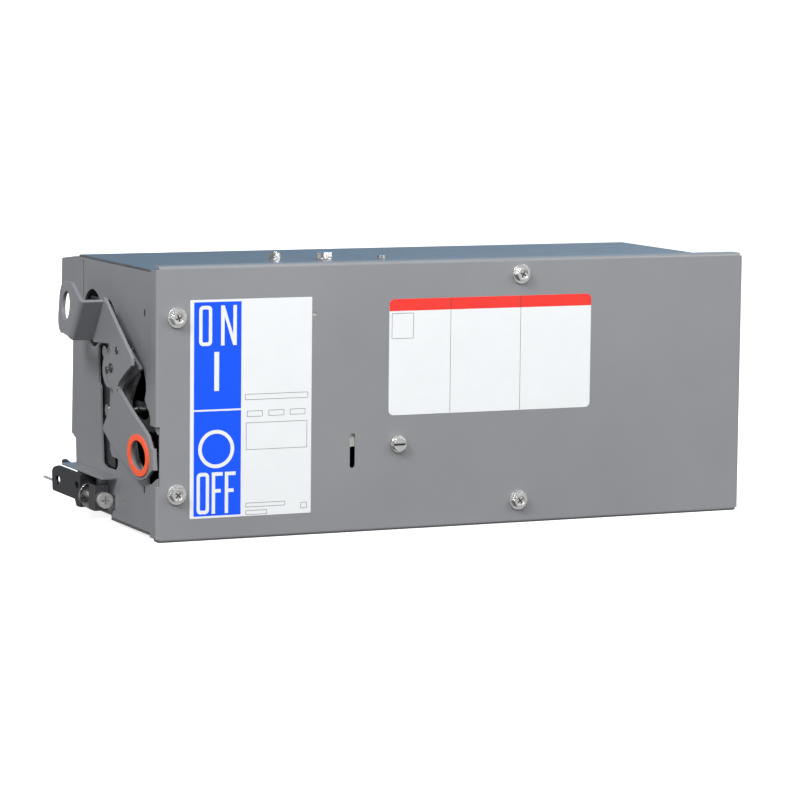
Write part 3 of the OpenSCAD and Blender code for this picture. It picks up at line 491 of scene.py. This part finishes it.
# ---------------------------------------------------------------- floor and light
def make_floor():
    """A pale floor that shows to the camera but throws no light on the object."""
    bpy.ops.mesh.primitive_plane_add(size=2000, location=(0, 0, cad_box[0][2] - 0.0003))
    floor = bpy.context.object
    floor.name = "floor"
    floor.visible_diffuse = False
    floor.visible_glossy = False
    t = Tree("floor_paper")
    tone = t.noise(3, 2, 0.4)
    color = t.ramp(tone, (0.3, (0.93, 0.93, 0.93, 1)), (0.7, (0.95, 0.95, 0.95, 1)))
    paper = t.finish(color, 0.9, t.bump(tone, 0.0001), Specular_IOR_Level=0.0,
                     Emission_Color=(1, 1, 1, 1), Emission_Strength=0.8)
    floor.data.materials.append(paper)


def lamp(name, place, aim, size, power):
    """A soft lamp of the given size in metres, turned to its aim."""
    data = bpy.data.lights.new(name, "AREA")
    data.shape = "RECTANGLE"
    data.size, data.size_y = size
    data.energy = power
    obj = bpy.data.objects.new(name, data)
    obj.location = place
    obj.rotation_euler = (Vector(aim) - Vector(place)).to_track_quat("-Z", "Y").to_euler()
    bpy.context.collection.objects.link(obj)
    return obj


def light_only(lit, parts, state="INCLUDE"):
    """Let a lamp light only the named nodes, or with EXCLUDE all but them."""
    group = bpy.data.collections.new(lit.name)
    for part in parts:
        group.objects.link(nodes[part])
    lit.light_linking.receiver_collection = group
    for entry in group.collection_objects:
        entry.light_linking.link_state = state


def make_world():
    """A soft room: bright in front, dimmer on the left, dark below, blue low down behind,
    and one bright spot at the front left that draws the bends' highlights."""
    world = bpy.data.worlds.new("studio")
    world.use_nodes = True
    t = world.node_tree
    bg = t.nodes["Background"]
    ray = t.nodes.new("ShaderNodeTexCoord").outputs["Generated"]

    def toward(x, y, z, a, b):
        """0 to 1 as the ray's cosine with a direction goes from a to b."""
        dot = t.nodes.new("ShaderNodeVectorMath")
        dot.operation = "DOT_PRODUCT"
        t.links.new(ray, dot.inputs[0])
        dot.inputs[1].default_value = Vector((x, y, z)).normalized()
        m = t.nodes.new("ShaderNodeMapRange")
        m.interpolation_type = "SMOOTHSTEP"
        t.links.new(dot.outputs["Value"], m.inputs["Value"])
        m.inputs["From Min"].default_value = a
        m.inputs["From Max"].default_value = b
        return m.outputs["Result"]

    def mix(fac, a, b):
        n = t.nodes.new("ShaderNodeMix")
        n.data_type = "RGBA"
        for k, v in ((0, fac), (6, a), (7, b)):
            if isinstance(v, bpy.types.NodeSocket):
                t.links.new(v, n.inputs[k])
            else:
                n.inputs[k].default_value = v
        return n.outputs[2]

    def grey(v):
        return (v, v, v, 1)

    sky = mix(toward(0, 0, 1, 0.0, 0.9), grey(0.68), grey(0.12))
    sky = mix(toward(0, 1, 0, -0.2, 0.7), sky, grey(0.2))
    sky = mix(toward(-1, 0, 0, 0.0, 0.8), sky, grey(0.26))
    above = t.nodes.new("ShaderNodeMath")
    above.operation = "MULTIPLY"
    t.links.new(toward(0.35, 1.0, 0.15, 0.78, 0.96), above.inputs[0])
    t.links.new(toward(0, 0, 1, -0.03, 0.04), above.inputs[1])
    haze = mix(toward(1, 0, 0, 0.3, 0.55), (0.0, 0.22, 0.46, 1), (0.42, 0.72, 1.0, 1))
    sky = mix(above.outputs[0], sky, haze)
    sky = mix(toward(0, 0, -1, 0.15, 0.55), sky, grey(0.03))
    sky = mix(toward(-0.9, -0.4, -0.08, 0.93, 0.99), sky, grey(2.0))
    seen = t.nodes.new("ShaderNodeLightPath").outputs["Is Camera Ray"]
    t.links.new(mix(seen, sky, (1, 1, 1, 1)), bg.inputs["Color"])
    bg.inputs["Strength"].default_value = 1.0
    bpy.context.scene.world = world


make_floor()
lamp("key", (-0.3, -1.2, 1.15), (0, -0.05, 0), (0.8, 0.8), 12)
lamp("fill", (1.35, -1.25, 0.9), (0.2, -0.1, 0), (1.0, 0.8), 14)
side = lamp("side", (-2.1, -1.4, 1.9), (-0.2, -0.1, 0), (0.7, 0.7), 54)
light_only(side, ["housing_shell"], "EXCLUDE")
back = lamp("back", (-0.6, 2.8, 0.4), (0, 0, 0), (1.8, 0.6), 40)
back.visible_glossy = False
front_glint = lamp("front_glint", (0.95, -1.9, 0.3), (0, 0, 0.1), (0.6, 0.6), 11)
light_only(front_glint, ["top_bolt", "top_washer", "top_stud", "top_nut", "top_screw"])
upper_glint = lamp("upper_glint", (-1.1, -0.9, 1.5), (0, 0, 0.1), (0.6, 0.6), 18)
light_only(upper_glint, ["cover_screws", "defeat_stud", "guide_screws", "handle_rivets",
                         "clamp_washer", "clamp_block"])
make_world()
bpy.context.scene.view_settings.view_transform = "Standard"
